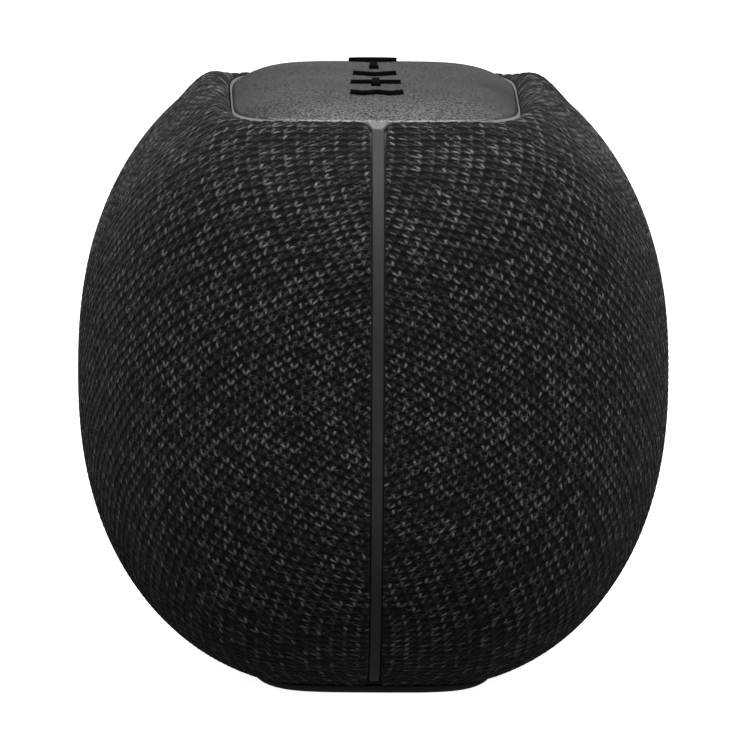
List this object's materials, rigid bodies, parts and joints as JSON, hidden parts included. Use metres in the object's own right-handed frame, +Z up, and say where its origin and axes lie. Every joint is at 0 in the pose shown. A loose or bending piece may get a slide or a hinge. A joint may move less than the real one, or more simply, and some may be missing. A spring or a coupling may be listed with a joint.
{
  "type": "smart speaker hub",
  "caption": "Rounded fabric-wrapped smart speaker hub with a domed control panel on top, press buttons, a seam strip at each end and a rubber foot.",
  "frame": {"origin": "centre of the foot's flat underside, where it stands", "axes": "+Z up, +Y along the length towards the end with the power inlet, +X towards the cover over the passive radiator"},
  "size_m": [0.1308, 0.164, 0.1341],
  "materials": {
    "knit": "heathered black-grey piqué knit, matte",
    "panel": "bead-blasted, dark grey, satin",
    "trim": "light grey, satin",
    "strip": "dark grey, satin",
    "button": "black, fine matt",
    "foot_rubber": "black, matt",
    "soft_rubber": "black silicone, satin",
    "circuit": "green solder mask",
    "steel": "zinc plated",
    "tin_can": "tinned",
    "heat_sink": "extruded",
    "magnet": "ferrite and steel",
    "cone": "pressed pulp, black",
    "flat_cable": "white film",
    "port": "black, fine texture",
    "housing": "black, moulded"
  },
  "bodies": {
    "housing": {"antenna": "circuit", "base_foot": "foot_rubber", "base_plate": "housing", "base_screw_1": "steel", "base_screw_2": "steel", "base_screw_3": "steel", "base_screw_4": "steel", "board_screw_1": "steel", "board_screw_2": "steel", "board_screw_3": "steel", "board_screw_4": "steel", "button_membrane": "soft_rubber", "control_board": "circuit", "enclosure_left": "housing", "enclosure_right": "housing", "fabric_cover_left": "knit", "fabric_cover_right": "knit", "heat_sink": "heat_sink", "inlet_pin": "steel", "main_board": "circuit", "microphone_left": "tin_can", "microphone_right": "tin_can", "minus_switch": "tin_can", "pairing_switch": "tin_can", "play_switch": "tin_can", "plus_switch": "tin_can", "port_panel": "port", "power_inlet": "port", "power_switch": "tin_can", "radiator_frame": "housing", "radiator_screw_1": "steel", "radiator_screw_2": "steel", "radiator_screw_3": "steel", "radiator_screw_4": "steel", "radiator_surround": "soft_rubber", "ribbon_cable": "flat_cable", "seam_strip_front": "strip", "seam_strip_rear_lower": "strip", "seam_strip_rear_upper": "strip", "top_panel": "panel", "top_ring": "trim", "top_tray": "housing", "wireless_module": "steel", "woofer_basket": "housing", "woofer_magnet": "magnet", "woofer_screw_1": "steel", "woofer_screw_2": "steel", "woofer_screw_3": "steel", "woofer_screw_4": "steel", "woofer_surround": "soft_rubber"},
    "power_button": {"power_button": "button"},
    "minus_button": {"minus_button": "button"},
    "play_button": {"play_button": "button"},
    "plus_button": {"plus_button": "button"},
    "pairing_button": {"pairing_button": "button"},
    "woofer_cone": {"woofer_cone": "cone"},
    "radiator_diaphragm": {"radiator_diaphragm": "cone"}
  },
  "joints": [
    {"name": "power_press", "type": "slide", "parent": "housing", "child": "power_button", "axis": [0, 0, -1], "range_m": [0, 0.0004], "stiffness_N_per_m": 1200},
    {"name": "minus_press", "type": "slide", "parent": "housing", "child": "minus_button", "axis": [0, 0, -1], "range_m": [0, 0.0004], "stiffness_N_per_m": 1200},
    {"name": "play_press", "type": "slide", "parent": "housing", "child": "play_button", "axis": [0, 0, -1], "range_m": [0, 0.0004], "stiffness_N_per_m": 1200},
    {"name": "plus_press", "type": "slide", "parent": "housing", "child": "plus_button", "axis": [0, 0, -1], "range_m": [0, 0.0004], "stiffness_N_per_m": 1200},
    {"name": "pairing_press", "type": "slide", "parent": "housing", "child": "pairing_button", "axis": [0, 0, -1], "range_m": [0, 0.0004], "stiffness_N_per_m": 1200},
    {"name": "woofer_excursion", "type": "slide", "parent": "housing", "child": "woofer_cone", "axis": [-1, 0, 0], "range_m": [-0.003, 0.003], "stiffness_N_per_m": 1500},
    {"name": "radiator_excursion", "type": "slide", "parent": "housing", "child": "radiator_diaphragm", "axis": [1, 0, 0], "range_m": [-0.004, 0.004], "stiffness_N_per_m": 1200}
  ]
}
